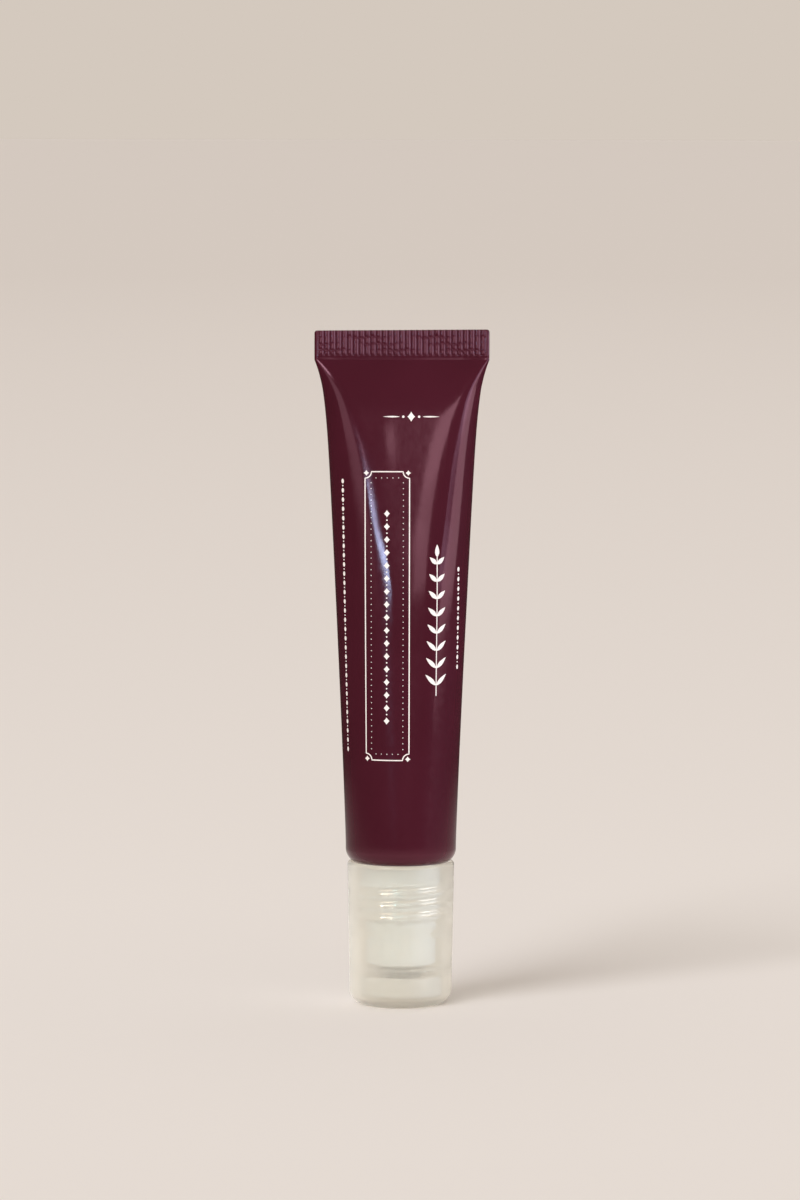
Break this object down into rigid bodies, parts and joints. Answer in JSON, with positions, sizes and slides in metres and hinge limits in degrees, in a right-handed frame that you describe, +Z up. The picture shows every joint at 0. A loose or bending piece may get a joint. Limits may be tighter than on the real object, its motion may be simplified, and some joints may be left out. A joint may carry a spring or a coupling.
{
  "type": "roller-ball squeeze tube",
  "caption": "Slim flat-sealed squeeze tube of cuticle oil, standing on a frosted screw cap that covers its steel roller-ball tip.",
  "frame": {"origin": "centre of the cap's closed end, which the tube stands on", "axes": "+Z up along the tube's axis to the sealed end, X along the flat seal, -Y out of the printed front"},
  "size_m": [0.0298, 0.019, 0.1158],
  "materials": {
    "burgundy_polyethylene": "satin gloss",
    "natural_polyethylene": "as moulded",
    "natural_polypropylene": "as moulded",
    "amber_oil": "liquid",
    "polished_stainless_steel": "polished",
    "frosted_polypropylene": "frosted",
    "soft_polyethylene_foam": "matte"
  },
  "bodies": {
    "cap": {"screw_cap": "frosted_polypropylene"},
    "liner": {"cap_liner": "soft_polyethylene_foam"},
    "tube": {"tube_sleeve": "burgundy_polyethylene", "tube_head": "natural_polyethylene", "roller_housing": "natural_polypropylene", "oil_fill": "amber_oil"},
    "ball": {"roller_ball": "polished_stainless_steel"}
  },
  "joints": [
    {"name": "tube_turn", "type": "hinge", "parent": "cap", "child": "liner", "pos_m": [0, 0, 0.0125], "axis": [0, 0, 1], "range_deg": [0, 1080]},
    {"name": "tube_lift", "type": "slide", "parent": "liner", "child": "tube", "axis": [0, 0, 1], "range_m": [0, 0.006]},
    {"name": "ball_roll", "type": "hinge", "parent": "tube", "child": "ball", "pos_m": [0, 0, 0.00946], "axis": [1, 0, 0], "continuous": true}
  ],
  "couplings": [
    {"joint": "tube_lift", "follows": "tube_turn", "m_per_rad": 0.0003183}
  ]
}
